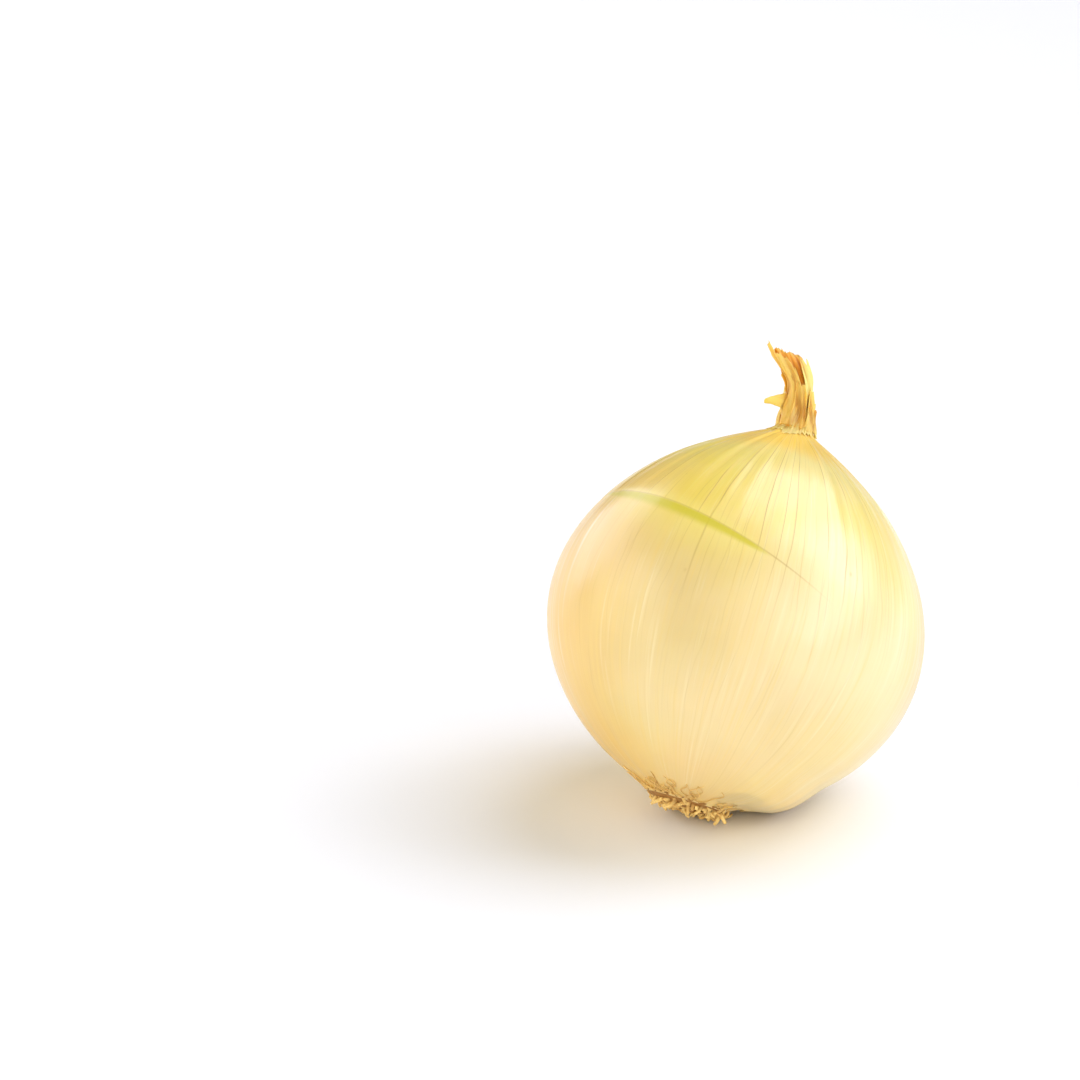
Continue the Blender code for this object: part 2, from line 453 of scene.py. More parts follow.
def bump(tree, relief, strength, depth):
    """The normal of a surface that is dented by a relief."""
    inputs = {"Height": relief, "Strength": strength, "Distance": depth}
    return node(tree, "Bump", inputs).outputs[0]


def attribute(tree, name):
    """A number that the mesh keeps at each vertex."""
    return node(tree, "Attribute", attribute_name=name).outputs["Fac"]


def opaque(rgb):
    return (*rgb, 1.0)


def tint(tree, share, under, over):
    """One colour laid over another by a share."""
    inputs = {0: share, 6: under, 7: over}
    return node(tree, "Mix", inputs, data_type="RGBA", clamp_factor=True).outputs[2]


def paint(tree, base, mask, shade, strength=None):
    """Lays a shade over a surface's colour by a mask, at full or at a lower strength."""
    share = mask if strength is None else multiply(tree, mask, strength)
    return tint(tree, share, base, opaque(shade))


def new_group(name, takes, gives):
    """An empty shader node group with named sockets: its tree, and what it takes and gives."""
    tree = bpy.data.node_groups.new(name, "ShaderNodeTree")
    for label, kind, default in takes:
        socket = tree.interface.new_socket(name=label, in_out="INPUT", socket_type=kind)
        if default is not None:
            socket.default_value = default
    for label, kind in gives:
        tree.interface.new_socket(name=label, in_out="OUTPUT", socket_type=kind)
    return tree, tree.nodes.new("NodeGroupInput").outputs, tree.nodes.new("NodeGroupOutput").inputs


def use_group(tree, name, inputs):
    """Places a shared node group, which is built the first time that it is wanted."""
    made = tree.nodes.new("ShaderNodeGroup")
    made.node_tree = bpy.data.node_groups.get(name) or NODE_GROUPS[name](name)
    join_all(tree, inputs, made.inputs)
    return made.outputs


def growth_axes_group(name):
    """Splits a place in the onion's own frame into its turn, height and compass direction."""
    tree, takes, gives = new_group(
        name,
        [("Place", VECTOR, None)],
        [("Turn", FLOAT), ("Height", FLOAT), ("Around", VECTOR)],
    )
    parts = node(tree, "SeparateXYZ", {0: takes["Place"]}).outputs
    angle = calculate(tree, "ARCTAN2", parts["Y"], parts["X"])
    join(tree, calculate(tree, "MULTIPLY_ADD", angle, 1 / (2 * math.pi), 0.5), gives["Turn"])
    join(tree, multiply(tree, parts["Z"], 1 / MM), gives["Height"])
    flat = node(tree, "CombineXYZ", {0: parts["X"], 1: parts["Y"]}).outputs[0]
    around = node(tree, "VectorMath", {0: flat}, operation="NORMALIZE").outputs[0]
    join(tree, around, gives["Around"])
    return tree


def raise_path(tree, around, rise):
    """Coordinates that run round the axis and climb with a height."""
    lift = node(tree, "CombineXYZ", {2: rise}).outputs[0]
    return node(tree, "VectorMath", {0: around, 1: lift}, operation="ADD").outputs[0]


VEIN_CLIMB = 0.014  # how far along its noise a vein gets with each mm of height
VEIN_WAVES = 2.6
VEIN_BREAKS = 3.4


def veins_group(name):
    """Thin lines that run from root to neck, unevenly spaced and each with its own strength."""
    tree, takes, gives = new_group(
        name,
        [
            ("Turn", FLOAT, 0.0),
            ("Height", FLOAT, 0.0),
            ("Around", VECTOR, None),
            ("Count", FLOAT, 80.0),
            ("Width", FLOAT, 0.1),
            ("Wander", FLOAT, 0.01),
            ("Seed", FLOAT, 0.0),
        ],
        [("Mask", FLOAT)],
    )
    rise = calculate(tree, "MULTIPLY_ADD", takes["Height"], VEIN_CLIMB, takes["Seed"])
    drift = clouds(tree, raise_path(tree, takes["Around"], rise), VEIN_WAVES)
    drift = calculate(tree, "SUBTRACT", drift, 0.5)
    along = calculate(tree, "MULTIPLY_ADD", drift, takes["Wander"], takes["Turn"])
    along = multiply(tree, along, takes["Count"])
    cell = calculate(tree, "FLOORED_MODULO", calculate(tree, "FLOOR", along), takes["Count"])
    cell = calculate(tree, "ADD", cell, takes["Seed"])
    dice = node(tree, "TexWhiteNoise", {"W": cell}, noise_dimensions="1D").outputs["Color"]
    dice = node(tree, "SeparateColor", {0: dice}).outputs
    offset = calculate(tree, "MULTIPLY_ADD", dice["Red"], 0.5, 0.25)
    aside = calculate(tree, "SUBTRACT", calculate(tree, "FRACT", along), offset)
    aside = calculate(tree, "ABSOLUTE", aside)
    narrow = multiply(tree, takes["Width"], 0.5)
    width = calculate(tree, "MULTIPLY_ADD", dice["Green"], takes["Width"], narrow)
    line = ease(tree, calculate(tree, "DIVIDE", aside, width), 1.0, 0.0)
    stretch = node(tree, "CombineXYZ", {0: cell, 1: rise}).outputs[0]
    unbroken = ease(tree, clouds(tree, stretch, VEIN_BREAKS), 0.32, 0.62)
    strength = multiply(tree, ease(tree, dice["Blue"], 0.1, 1.0, 0.12, 1.0), unbroken)
    join(tree, multiply(tree, line, strength), gives["Mask"])
    return tree


# How fine a pattern is round the axis, and how many mm long up it.
GROWTH_SOCKETS = [
    ("Around", VECTOR, None),
    ("Height", FLOAT, 0.0),
    ("Fineness", FLOAT, 30.0),
    ("Length", FLOAT, 20.0),
]


def growth_path(tree, takes):
    """Coordinates that are drawn out along the growth, from a group's growth sockets."""
    scale = {0: takes["Around"], 3: takes["Fineness"]}
    spread = node(tree, "VectorMath", scale, operation="SCALE").outputs[0]
    return raise_path(tree, spread, calculate(tree, "DIVIDE", takes["Height"], takes["Length"]))


def fibres_group(name):
    """Soft light and dark streaks that run from root to neck, for colour and for relief."""
    tree, takes, gives = new_group(name, GROWTH_SOCKETS, [("Streak", FLOAT)])
    streak = clouds(tree, growth_path(tree, takes), detail=3.0, roughness=0.6)
    join(tree, streak, gives["Streak"])
    return tree


def mottle_group(name):
    """Broad soft patches, for colour that drifts over a grown surface."""
    tree, takes, gives = new_group(
        name,
        [("Place", VECTOR, None), ("Patch size", FLOAT, 30.0), ("Seed", FLOAT, 0.0)],
        [("Patches", FLOAT)],
    )
    scale = calculate(tree, "DIVIDE", 1 / MM, takes["Patch size"])
    inputs = {"Vector": takes["Place"], "W": takes["Seed"], "Scale": scale, "Detail": 3.0}
    cloud = node(tree, "TexNoise", inputs, noise_dimensions="4D").outputs[0]
    join(tree, ease(tree, cloud, 0.32, 0.68), gives["Patches"])
    return tree


def flecks_group(name):
    """A few small scattered spots, drawn out along the growth."""
    tree, takes, gives = new_group(
        name, [*GROWTH_SOCKETS, ("Amount", FLOAT, 0.1)], [("Mask", FLOAT)]
    )
    cells = node(tree, "TexVoronoi", {"Vector": growth_path(tree, takes), "Scale": 1.0}).outputs
    dice = node(tree, "SeparateColor", {0: cells["Color"]}).outputs
    size = calculate(tree, "MULTIPLY_ADD", dice["Green"], 0.12, 0.04)
    spot = ease(tree, calculate(tree, "DIVIDE", cells["Distance"], size), 1.0, 0.3)
    chosen = calculate(tree, "LESS_THAN", dice["Red"], takes["Amount"])
    join(tree, multiply(tree, spot, chosen), gives["Mask"])
    return tree


NODE_GROUPS = {
    "Growth axes": growth_axes_group,
    "Veins": veins_group,
    "Fibres": fibres_group,
    "Mottle": mottle_group,
    "Flecks": flecks_group,
}


def mottle(tree, place, size, seed):
    """Soft patches of about a size in mm."""
    inputs = {"Place": place, "Patch size": size, "Seed": seed}
    return use_group(tree, "Mottle", inputs)["Patches"]


def new_material(name):
    """A material, its tree and its shader, with nothing joined yet."""
    made = bpy.data.materials.new(name)
    made.use_nodes = True
    return made, made.node_tree, made.node_tree.nodes["Principled BSDF"]


def own_place(tree):
    """Coordinates in the onion's own frame, in metres, for a piece that is laid down."""
    place = node(tree, "TexCoord").outputs["Object"]
    inputs = {"Vector": place, "Location": PLACE.translation, "Rotation": PLACE.to_euler()}
    return node(tree, "Mapping", inputs, vector_type="TEXTURE").outputs[0]


# ---------------------------------------------------------------- materials

CREAM = to_linear(252, 238, 196)
ROSY = to_linear(249, 222, 166)
GREENISH = to_linear(244, 234, 142)
STREAK_DARK = to_linear(240, 210, 126)
STREAK_PALE = to_linear(253, 242, 206)
NECK_ORANGE = to_linear(240, 168, 66)
NECK_BROWN = to_linear(222, 156, 58)
NECK_LIGHT = to_linear(254, 210, 98)
NECK_PALE = to_linear(255, 228, 128)
ROOT_TAN = to_linear(206, 152, 78)
ROOT_BROWN = to_linear(158, 106, 46)
TABLE_WHITE = (0.93, 0.925, 0.915)
TABLE_SPECK = (0.9, 0.89, 0.88)

# Heights up the axis, in mm, over which one colour of the skin gives way to the next.
TO_BELLY = (0, 17)
TO_SHOULDER = (46, 70)
TO_NECK_END = (82, 92)
HEIGHT_DRIFT = 7.0  # mm by which those heights wander

# Patches in the skin: size in mm, seed, strength, colour.
SKIN_PATCHES = (
    (40.0, 0.0, 0.32, CREAM),
    (24.0, 11.7, 0.35, ROSY),
    (36.0, 7.3, 0.20, GREENISH),
)
PAINTED_HIGHLIGHT_TURN = -58  # degrees round the axis to the painted highlight's middle, as are the two sides after it
LEFT_FLANK = 172
RIGHT_FLANK = 4


def towards(tree, around, degrees, start, full):
    """How nearly a point of the bulb faces one turn round its axis, as a soft mask."""
    turn = math.radians(degrees)
    inputs = {0: around, 1: (math.cos(turn), math.sin(turn), 0)}
    facing = node(tree, "VectorMath", inputs, operation="DOT_PRODUCT")
    return ease(tree, facing.outputs["Value"], start, full)


def skin_colours(tree, colours, place, axes):
    """The skin's broad colours: golden ends, cream belly, yellow shoulder, patches, a cream
    painted highlight, and golden sides that are partly painted reflected light.
    """
    around = axes["Around"]
    wave = mottle(tree, place, 34.0, 3.1)
    middle = calculate(tree, "SUBTRACT", axes["Height"], HEIGHT_DRIFT / 2)
    height = calculate(tree, "MULTIPLY_ADD", wave, HEIGHT_DRIFT, middle)
    base = paint(tree, opaque(colours.root_end), ease(tree, height, *TO_BELLY), colours.belly)
    base = paint(tree, base, ease(tree, height, *TO_SHOULDER), colours.shoulder)
    for size, seed, strength, shade in SKIN_PATCHES:
        base = paint(tree, base, mottle(tree, place, size, seed), shade, strength)

    # Painted highlight: a cream area round that turn, from 18 to 74 mm up, where the broad
    # highlight falls.
    painted_highlight = towards(tree, around, PAINTED_HIGHLIGHT_TURN, 0.72, 1.0)
    painted_highlight = multiply(tree, painted_highlight, ease(tree, height, 18, 40), ease(tree, height, 74, 56))
    base = paint(tree, base, painted_highlight, CREAM, 0.38)

    # The two sides' warm gold is partly the skin's own tone and partly painted reflected light,
    # widest on the left.
    left = towards(tree, around, LEFT_FLANK, 0.35, 1.0)
    right = towards(tree, around, RIGHT_FLANK, 0.72, 1.0)
    right = multiply(tree, right, ease(tree, height, 28, 52), 0.9)
    warm_side_and_reflection = calculate(tree, "MAXIMUM", left, right)
    warm_side_and_reflection = multiply(tree, warm_side_and_reflection, ease(tree, height, 82, 60))
    base = paint(tree, base, warm_side_and_reflection, colours.warm_side_and_reflection, 0.8)
    return paint(tree, base, ease(tree, height, *TO_NECK_END), colours.neck_end)


def skin_material(colours, veins):
    """Thin satin skin: soft colours, fibres, veins that show most on the shoulder, flecks, and
    painted contact shade next to the table.
    """
    made, tree, shader = new_material("onion_skin")
    place = own_place(tree)
    axes = use_group(tree, "Growth axes", {"Place": place})
    turn, height = axes["Turn"], axes["Height"]
    base = skin_colours(tree, colours, place, axes)

    grown = {"Around": axes["Around"], "Height": height}
    streak = use_group(tree, "Fibres", {**grown, "Fineness": 34.0, "Length": 34.0})["Streak"]
    base = paint(tree, base, ease(tree, streak, 0.48, 0.78, 0.0, 0.42), STREAK_DARK)
    base = paint(tree, base, ease(tree, streak, 0.46, 0.22, 0.0, 0.32), STREAK_PALE)

    lines = {"Turn": turn, **grown}
    strong = {**lines, "Count": float(veins), "Width": 0.075, "Wander": 0.016}
    strong = use_group(tree, "Veins", strong)["Mask"]
    strong = multiply(tree, strong, ease(tree, height, 44, 72, 0.08, 0.85))
    faint = {**lines, "Count": veins * 2.0 + 11, "Width": 0.17, "Wander": 0.022, "Seed": 31.0}
    faint = use_group(tree, "Veins", faint)["Mask"]
    faint = multiply(tree, faint, ease(tree, height, 30, 70, 0.10, 0.24))
    flecks = {**grown, "Fineness": 7.0, "Length": 9.0, "Amount": 0.10}
    flecks = use_group(tree, "Flecks", flecks)["Mask"]
    for mask, strength in ((faint, None), (strong, None), (flecks, 0.4)):
        base = paint(tree, base, mask, colours.vein_and_contact_shade, strength)
    base = green_stripe(tree, base, turn, height, colours)
    # Painted contact shade: the skin browns in vein colour over its lowest 5 mm above the table.
    above = node(tree, "SeparateXYZ", {0: node(tree, "TexCoord").outputs["Object"]}).outputs["Z"]
    contact_shade = ease(tree, calculate(tree, "DIVIDE", above, MM), *CONTACT_SHADE_HEIGHTS)
    base = paint(tree, base, contact_shade, colours.vein_and_contact_shade, 0.55)

    rough = ease(tree, streak, 0.3, 0.7, 0.30, 0.42)
    fine = use_group(tree, "Fibres", {**grown, "Fineness": 90.0, "Length": 16.0})["Streak"]
    relief = calculate(tree, "MULTIPLY_ADD", fine, 0.5, multiply(tree, streak, 0.8))
    relief = calculate(tree, "MULTIPLY_ADD", strong, 0.6, relief)
    finish = {
        "Base Color": base,
        "Roughness": calculate(tree, "MULTIPLY_ADD", strong, 0.2, rough),
        "Normal": bump(tree, relief, 0.2, 0.22 * MM),
        "Specular IOR Level": 0.55,
        "Coat Weight": 0.52,
        "Coat Roughness": 0.24,
        "Subsurface Weight": 0.3,
        "Subsurface Radius": (1.0, 0.75, 0.35),
        "Subsurface Scale": 4 * MM,
    }
    join_all(tree, finish, shader.inputs)
    return made


def green_stripe(tree, base, turn, height, colours):
    """Lays the green crescent under the outer skin's edge over a colour."""
    angle = multiply(tree, calculate(tree, "SUBTRACT", turn, 0.5), 2 * math.pi)
    swing = calculate(tree, "SUBTRACT", angle, EDGE_PEAK)
    swing = calculate(tree, "DIVIDE", swing, EDGE_FALL_SPAN)
    fall = multiply(tree, swing, swing, EDGE_FALL / MM)
    edge = calculate(tree, "SUBTRACT", EDGE_PEAK_HEIGHT / MM, fall)
    below = calculate(tree, "SUBTRACT", edge, height)

    hair = ease(tree, calculate(tree, "ABSOLUTE", below), 0.35, 0.0)
    reach = ease(tree, angle, STRIPE_END + 0.4, STRIPE_END)
    reach = multiply(tree, reach, ease(tree, angle, STRIPE_START - 0.3, STRIPE_START + 0.2))
    base = paint(tree, base, multiply(tree, hair, reach), colours.vein_and_contact_shade, 0.4)

    half_wave = (STRIPE_END - STRIPE_START) / math.pi
    reach = calculate(tree, "SUBTRACT", angle, STRIPE_START)
    reach = calculate(tree, "DIVIDE", reach, half_wave)
    width = calculate(tree, "POWER", calculate(tree, "SINE", reach), 0.6)
    width = multiply(tree, width, STRIPE_WIDTH / MM)
    inside = ease(tree, reach, -0.1, 1.2, 0.8, 1.0)
    inside = multiply(tree, inside, ease(tree, reach, math.pi, math.pi - 0.35))
    depth = calculate(tree, "DIVIDE", below, calculate(tree, "MAXIMUM", width, 0.05))
    band = multiply(tree, ease(tree, depth, -0.08, 0.16), ease(tree, depth, 1.15, 0.45), inside)
    glow = multiply(tree, ease(tree, depth, 3.6, 0.6), ease(tree, depth, -1.2, 0.0), inside)
    base = paint(tree, base, glow, GREENISH, 0.28)
    return paint(tree, base, band, colours.stripe, 0.85)


def neck_material(colours):
    """Dry leaf sheaths: golden fibres, painted shade in the folds, and pale where the sheet is
    thin.
    """
    made, tree, shader = new_material("dry_neck")
    fibre = node(tree, "Attribute", attribute_name="fibre").outputs["Vector"]
    lines = node(tree, "Mapping", {"Vector": fibre, "Scale": (8.0, 8.0, 1.8)}).outputs[0]
    grain = clouds(tree, lines, detail=4.0, roughness=0.6)
    hairs = node(tree, "Mapping", {"Vector": fibre, "Scale": (34.0, 34.0, 3.0)}).outputs[0]
    fine = clouds(tree, hairs)
    patches = mottle(tree, own_place(tree), 5.0, 2.0)
    base = paint(tree, opaque(colours.neck), patches, NECK_ORANGE, 0.4)
    base = paint(tree, base, ease(tree, grain, 0.5, 0.75, 0.0, 0.45), NECK_BROWN)
    base = paint(tree, base, ease(tree, grain, 0.45, 0.25, 0.0, 0.4), NECK_LIGHT)
    base = paint(tree, base, attribute(tree, "pale"), NECK_PALE)
    base = paint(tree, base, ease(tree, fine, 0.55, 0.75, 0.0, 0.22), NECK_BROWN)
    # Painted shade in the folds, together with the brown stains.
    folds = ease(tree, attribute(tree, "fold_shade_and_brown_spots"), 0.5, 1.0, 0.0, 0.65)
    finish = {
        "Base Color": paint(tree, base, folds, colours.fold_shade_and_brown_spots),
        "Roughness": ease(tree, grain, 0.3, 0.7, 0.45, 0.7),
        "Normal": bump(tree, calculate(tree, "MULTIPLY_ADD", fine, 0.4, grain), 0.5, 0.22 * MM),
        "Subsurface Weight": 0.35,
        "Subsurface Radius": (1.0, 0.65, 0.25),
        "Subsurface Scale": 1.6 * MM,
    }
    join_all(tree, finish, shader.inputs)
    return made


def root_material(colours):
    """Dry roots: dark at the foot, partly their own colour and partly painted shade between the
    roots, tan towards the cut tips, with fine cross wrinkles.
    """
    made, tree, shader = new_material("dry_roots")
    reach = ease(tree, attribute(tree, "reach"), 0.0, 0.6)
    grit = clouds(tree, own_place(tree), 1400.0, 3.0)
    # Dark at the foot, partly painted shade between the roots, giving way to tan towards the tips.
    base = paint(tree, opaque(colours.dark_foot_and_gap_shade), reach, colours.root)
    base = paint(tree, base, ease(tree, attribute(tree, "dice"), 0.2, 1.0, 0.0, 0.55), ROOT_TAN)
    finish = {
        "Base Color": paint(tree, base, ease(tree, grit, 0.5, 0.75, 0.0, 0.4), ROOT_BROWN),
        "Roughness": ease(tree, grit, 0.3, 0.7, 0.55, 0.8),
        "Normal": bump(tree, grit, 0.5, 0.2 * MM),
    }
    join_all(tree, finish, shader.inputs)
    return made


def table_material():
    """A plain matt white board."""
    made, tree, shader = new_material("table_top")
    speck = clouds(tree, node(tree, "TexCoord").outputs["Object"], 900.0)
    speck = ease(tree, speck, 0.3, 0.7, 0.0, 0.02)
    finish = {
        "Base Color": paint(tree, opaque(TABLE_WHITE), speck, TABLE_SPECK),
        "Roughness": 0.7,
        "Specular IOR Level": 0.2,
    }
    join_all(tree, finish, shader.inputs)
    return made


# ---------------------------------------------------------------- the bulb


def bulb_outline(diameter):
    """(radius, height) from the middle of the root plate, up the skin, to inside the neck."""
    outline = [(0.0, 0.9 * MM), (5 * MM, 0.5 * MM)]
    for i in range(BULB_RINGS + 1):
        height = BULB_HEIGHT / 2 * (1 - math.cos(math.pi * i / BULB_RINGS))
        outline.append((bulb_radius(height, diameter), height))
    outline += [(3.2 * MM, BULB_HEIGHT + 0.3 * MM), (0.0, BULB_HEIGHT + 0.4 * MM)]
    return outline


def build_bulb(sizes, colours):
    bm = bmesh.new()
    for vertex in spin_outline(bm, bulb_outline(sizes.diameter), BULB_STEPS):
        x, y, height = vertex.co
        vertex.co = lay_down(skin_point(math.atan2(y, x), height, math.hypot(x, y)))
    material = skin_material(colours, sizes.skin_veins)
    new_piece(bm, "bulb_skin", node="bulb", material=material)


# ---------------------------------------------------------------- the loose skin


def build_loose_skin(sizes):
    """A papery rag of outer skin that hangs a little away from the bulb's underside."""
    bm = bmesh.new()
    for vertex in spin_outline(bm, unit_outline(LOOSE_RINGS), LOOSE_STEPS, LOOSE_SPAN):
        x, y, fall = vertex.co
        side = math.atan2(y, x) / LOOSE_SPAN
        torn = wobble(side * 7, 2.0, 0) + 0.5 * wobble(side * 26, 5.0, 0)
        height = LOOSE_TOP + (LOOSE_FOOT + LOOSE_TEAR * torn - LOOSE_TOP) * fall
        buckle = wobble(side * 5, fall * 1.5, 8.0)
        free = smoothstep(0.0, 0.22, side) * smoothstep(1.0, 0.62, side)
        lift = LOOSE_LIFT * fall**1.6 * free * (1 + 0.5 * buckle) - LOOSE_TUCK * (1 - fall * free)
        angle = LOOSE_START + LOOSE_SPAN * side
        point = skin_point(angle, height, bulb_radius(height, sizes.diameter), lift)
        vertex.co = lay_down(point, clearance=LOOSE_CLEARANCE)
    skin = bpy.data.materials["onion_skin"]
    new_piece(bm, "loose_skin", material=skin, wall=SHEATH_THICKNESS)


# ---------------------------------------------------------------- the neck


def neck_fold(angle, share):
    """How far a fold stands in or out there, as a share of the girth."""
    turned = angle + NECK_TWIST * share
    crumple = wobble(1.4 * math.cos(turned), 1.4 * math.sin(turned), 2.6 * share)
    fold = ribs(turned, NECK_FOLDS) + NECK_CRUMPLE * crumple
    return fold * smoothstep(-0.3, 0.25, share)


def neck_point(angle, share, scale=1.0, lift=0.0):
    """A point of the folded neck, in the onion's own frame."""
    drift, half_width, half_depth = (value * MM for value in interpolate(NECK_GIRTH, share))
    swell = scale * (1 + neck_fold(angle, share))
    return Vector(
        (
            drift + (half_width * swell + lift) * math.cos(angle),
            (half_depth * swell + lift) * math.sin(angle),
            BULB_HEIGHT + NECK_HEIGHT * share,
        )
    )


def neck_layers(bm):
    """Where each vertex keeps its painted fold shade with its brown spots, its paleness and its
    place along the fibres.
    """
    layers = {name: bm.verts.layers.float.new(name) for name in ("fold_shade_and_brown_spots", "pale")}
    layers["fibre"] = bm.verts.layers.float_vector.new("fibre")
    return layers


def mark_neck(vertex, layers, angle, share, paleness):
    turned = angle + NECK_TWIST * share
    # Painted fold shade: darker where a fold turns inwards; the brown stains add to it.
    fold_shade_and_brown_spots = 0.5 - neck_fold(angle, share) * 4
    for degrees, height, size in STAINS:
        across = 4.0 * math.remainder(angle - math.radians(degrees), 2 * math.pi)
        along = (share - height) * NECK_HEIGHT / MM
        fold_shade_and_brown_spots += 0.8 * math.exp(-(across**2 + 0.5 * along**2) / size**2)
    vertex[layers["fold_shade_and_brown_spots"]] = max(0.0, min(1.0, fold_shade_and_brown_spots))
    vertex[layers["pale"]] = paleness
    vertex[layers["fibre"]] = Vector((math.cos(turned), math.sin(turned), share))


def build_neck_core(material):
    """The shrunken stalk itself, closed at its foot and torn off at its tip."""
    bm = bmesh.new()
    layers = neck_layers(bm)
    outline = [(0.0, -0.12), (0.9, -0.12)]
    outline += [(1.0, -0.1 + 1.04 * i / NECK_RINGS) for i in range(NECK_RINGS + 1)]
    outline += [(0.86, 0.96), (0.7, 0.92), (0.5, 0.93), (0.3, 0.88), (0.0, 0.89)]
    for vertex in spin_outline(bm, outline, NECK_STEPS, merge_distance=UNIT_MERGE):
        x, y, share = vertex.co
        angle, scale = math.atan2(y, x), math.hypot(x, y)
        torn = wobble(2.5 * x, 2.5 * y, 3) + 0.5 * wobble(8 * x, 8 * y, 6)
        share += 0.07 * torn * smoothstep(0.7, 0.95, share)
        mark_neck(vertex, layers, angle, share, 0.25 * smoothstep(0.8, 1.0, share))
        vertex.co = PLACE @ neck_point(angle, share, scale)
    new_piece(bm, "neck_core", node="neck", material=material)


# Start turn and span in degrees, share of the neck's height at the top, how far the sheath
# stands off and flares in mm, paleness.
NECK_SHEATHS = (
    (-78, 104, 0.94, 0.42, 0.9, 0.85),
    (-212, 84, 1.02, 0.40, 0.7, 0.10),
    (-150, 62, 0.86, 0.75, 0.5, 0.35),
    (-118, 52, 0.60, 1.00, 0.6, 0.20),
    (-66, 46, 0.52, 0.95, 0.5, 0.45),
    (20, 96, 1.00, 0.45, 0.8, 0.55),
    (96, 74, 0.78, 0.70, 0.7, 0.15),
    (52, 60, 0.50, 1.00, 0.6, 0.30),
    (-196, 40, 0.42, 0.85, 0.5, 0.50),
)
SHEATH_FOOT = -0.03  # share of the neck's height where every sheath starts
SHEATH_STEPS = 36
SHEATH_RINGS = 48


def add_sheath(bm, layers, row, seed):
    """One thin sheet wrapped part of the way round the neck, with a torn top edge."""
    start, span, top, stand_off, flare, paleness = row
    start, span = math.radians(start), math.radians(span)
    for vertex in spin_outline(bm, unit_outline(SHEATH_RINGS), SHEATH_STEPS, span):
        x, y, rise = vertex.co
        side = math.atan2(y, x) / span
        if side < -0.01:
            side += 2 * math.pi / span
        outwards = abs(2 * side - 1)
        torn = 0.13 * wobble(side * 4, seed * 3.7, 0) + 0.05 * wobble(side * 13, seed * 1.9, 2)
        torn -= 0.16 * outwards**2
        share = SHEATH_FOOT + (top + torn - SHEATH_FOOT) * rise
        narrowing = 1 - 0.25 * rise * (1 if seed % 2 else 0.5)
        angle = start + span * (0.5 + (side - 0.5) * narrowing)
        lift = stand_off * smoothstep(-0.15, 0.1, share)
        lift += flare * (0.8 * rise**3 + 0.5 * outwards**4 * rise)
        lift += 0.22 * wobble(side * 7, rise * 4, seed)
        mark_neck(vertex, layers, angle, share, min(1.0, paleness + 0.3 * rise**2))
        vertex.co = PLACE @ neck_point(angle, share, 1.0, lift * MM)


def add_flake(bm, layers):
    """A torn tongue of sheath that stands out to one side, near the neck's foot."""
    tongue = bmesh.ops.create_grid(bm, x_segments=22, y_segments=14, size=0.5)["verts"]
    for vertex in tongue:
        out, side = vertex.co.x + 0.5, 2 * vertex.co.y
        torn = 0.25 * wobble(out * 5, side * 1.5, 4)
        height = 5.6 - 1.7 * out**1.6 + (2.3 - 1.7 * out**1.2) * (side + torn)
        depth = -0.9 - 1.1 * math.sin(2.4 * out) + 0.7 * side * math.cos(2.6 * out)
        depth += 0.3 * side * side
        mark_neck(vertex, layers, math.pi, height * MM / NECK_HEIGHT, 0.45 + 0.5 * out)
        across = -3.0 - 6.4 * out + 0.3 * side * side
        vertex.co = PLACE @ (Vector((across, depth, BULB_HEIGHT / MM + height)) * MM)


def build_neck_sheaths(material):
    bm = bmesh.new()
    layers = neck_layers(bm)
    for seed, row in enumerate(NECK_SHEATHS):
        add_sheath(bm, layers, row, seed)
    add_flake(bm, layers)
    new_piece(bm, "neck_sheaths", material=material, wall=SHEATH_THICKNESS)


def skirt_foot(angle):
    """How far up the onion's axis the skirt's torn lower edge lies."""
    x, y = math.cos(angle), math.sin(angle)
    torn = 1.2 * wobble(2.6 * x, 2.6 * y, 5) + 1.3 * wobble(7 * x, 7 * y, 1)
    return SKIRT_FOOT - SKIRT_DIP * math.cos(angle - SKIRT_DIP_TOWARDS) + torn * MM


def skirt_point(angle, rise, diameter):
    """A point of the skirt, from its torn foot on the bulb up to the neck it hugs."""
    x, y = math.cos(angle), math.sin(angle)
    foot = skirt_foot(angle)
    top = SKIRT_TOP + 1.3 * MM * wobble(4 * x, 4 * y, 9)
    height = foot + (top - foot) * rise
    share = (height - BULB_HEIGHT) / NECK_HEIGHT
    _, half_width, half_depth = interpolate(NECK_GIRTH, share)
    neck_radius = (half_width + half_depth) / 2 * (1 + neck_fold(angle, share)) * MM
    bulb = bulb_radius(min(height, BULB_HEIGHT), diameter) * max(0.0, 1 - 3.2 * max(0.0, share))
    curl = smoothstep(0.22, 0.0, rise) * (0.5 + wobble(5 * x, 5 * y, 3))
    lift = (0.03 + 0.07 * max(0.0, curl)) * MM + 0.5 * MM * smoothstep(-0.08, 0.12, share)
    radius = (bulb**SKIRT_BLEND + neck_radius**SKIRT_BLEND) ** (1 / SKIRT_BLEND)
    return skin_point(angle, height, radius, lift), share


def build_neck_skirt(sizes, material):
    """The remnant of an outer skin that flares from the neck over the bulb's top."""
    bm = bmesh.new()
    layers = neck_layers(bm)
    outline = unit_outline(SKIRT_RINGS)
    for vertex in spin_outline(bm, outline, SKIRT_STEPS, merge_distance=UNIT_MERGE):
        x, y, rise = vertex.co
        angle = math.atan2(y, x)
        point, share = skirt_point(angle, rise, sizes.diameter)
        mark_neck(vertex, layers, angle, share, 0.9 * (1 - rise) ** 1.2)
        vertex.co = PLACE @ point
    new_piece(bm, "neck_skirt", material=material, wall=SKIRT_THICKNESS)


# ---------------------------------------------------------------- the roots


